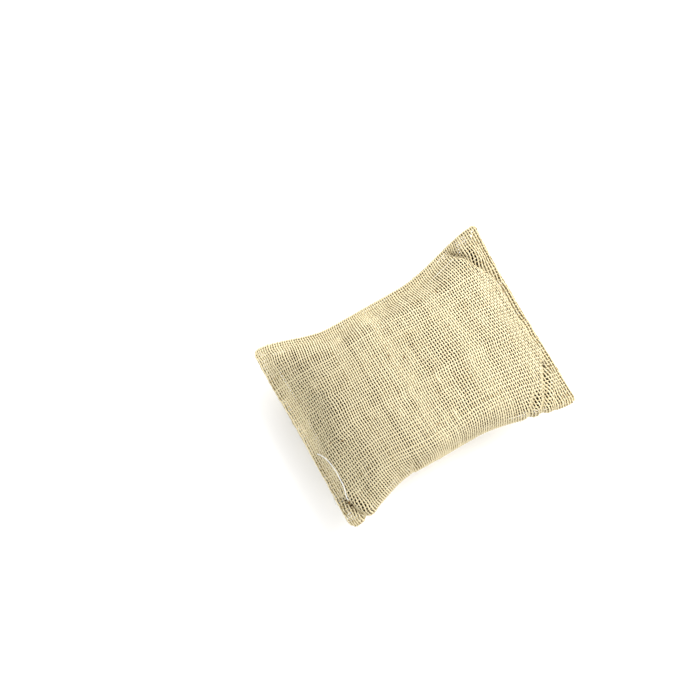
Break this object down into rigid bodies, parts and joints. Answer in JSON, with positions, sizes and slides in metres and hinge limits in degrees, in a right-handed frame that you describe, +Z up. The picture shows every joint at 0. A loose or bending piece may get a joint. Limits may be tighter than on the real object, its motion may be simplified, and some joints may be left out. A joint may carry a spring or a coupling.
{
  "type": "ring bearer pillow",
  "caption": "Small stuffed pillow in open plain-weave burlap, lying flat, with drawn-in long sides, flat corners and a slack stretch of white hand-sewing thread at one end.",
  "frame": {"origin": "on the floor under the middle of the pillow, in the middle of the flat patch it rests on", "axes": "+X along the pillow's length, away from the hand-closed end; +Y across it, away from the folded side; +Z up"},
  "size_m": [0.0989, 0.078, 0.0336],
  "materials": {
    "burlap": "undyed cream and straw jute-linen burlap, open plain weave, dry and matt",
    "stuffing_fibre": "off-white loose fibre wadding, matt",
    "machine_thread": "ecru spun sewing thread",
    "white_thread": "white sewing thread, faint sheen"
  },
  "bodies": {
    "root": {"burlap_cover": "burlap", "fibre_stuffing": "stuffing_fibre", "long_seam_thread": "machine_thread", "end_seam_thread": "machine_thread", "closing_thread": "white_thread"}
  },
  "joints": []
}
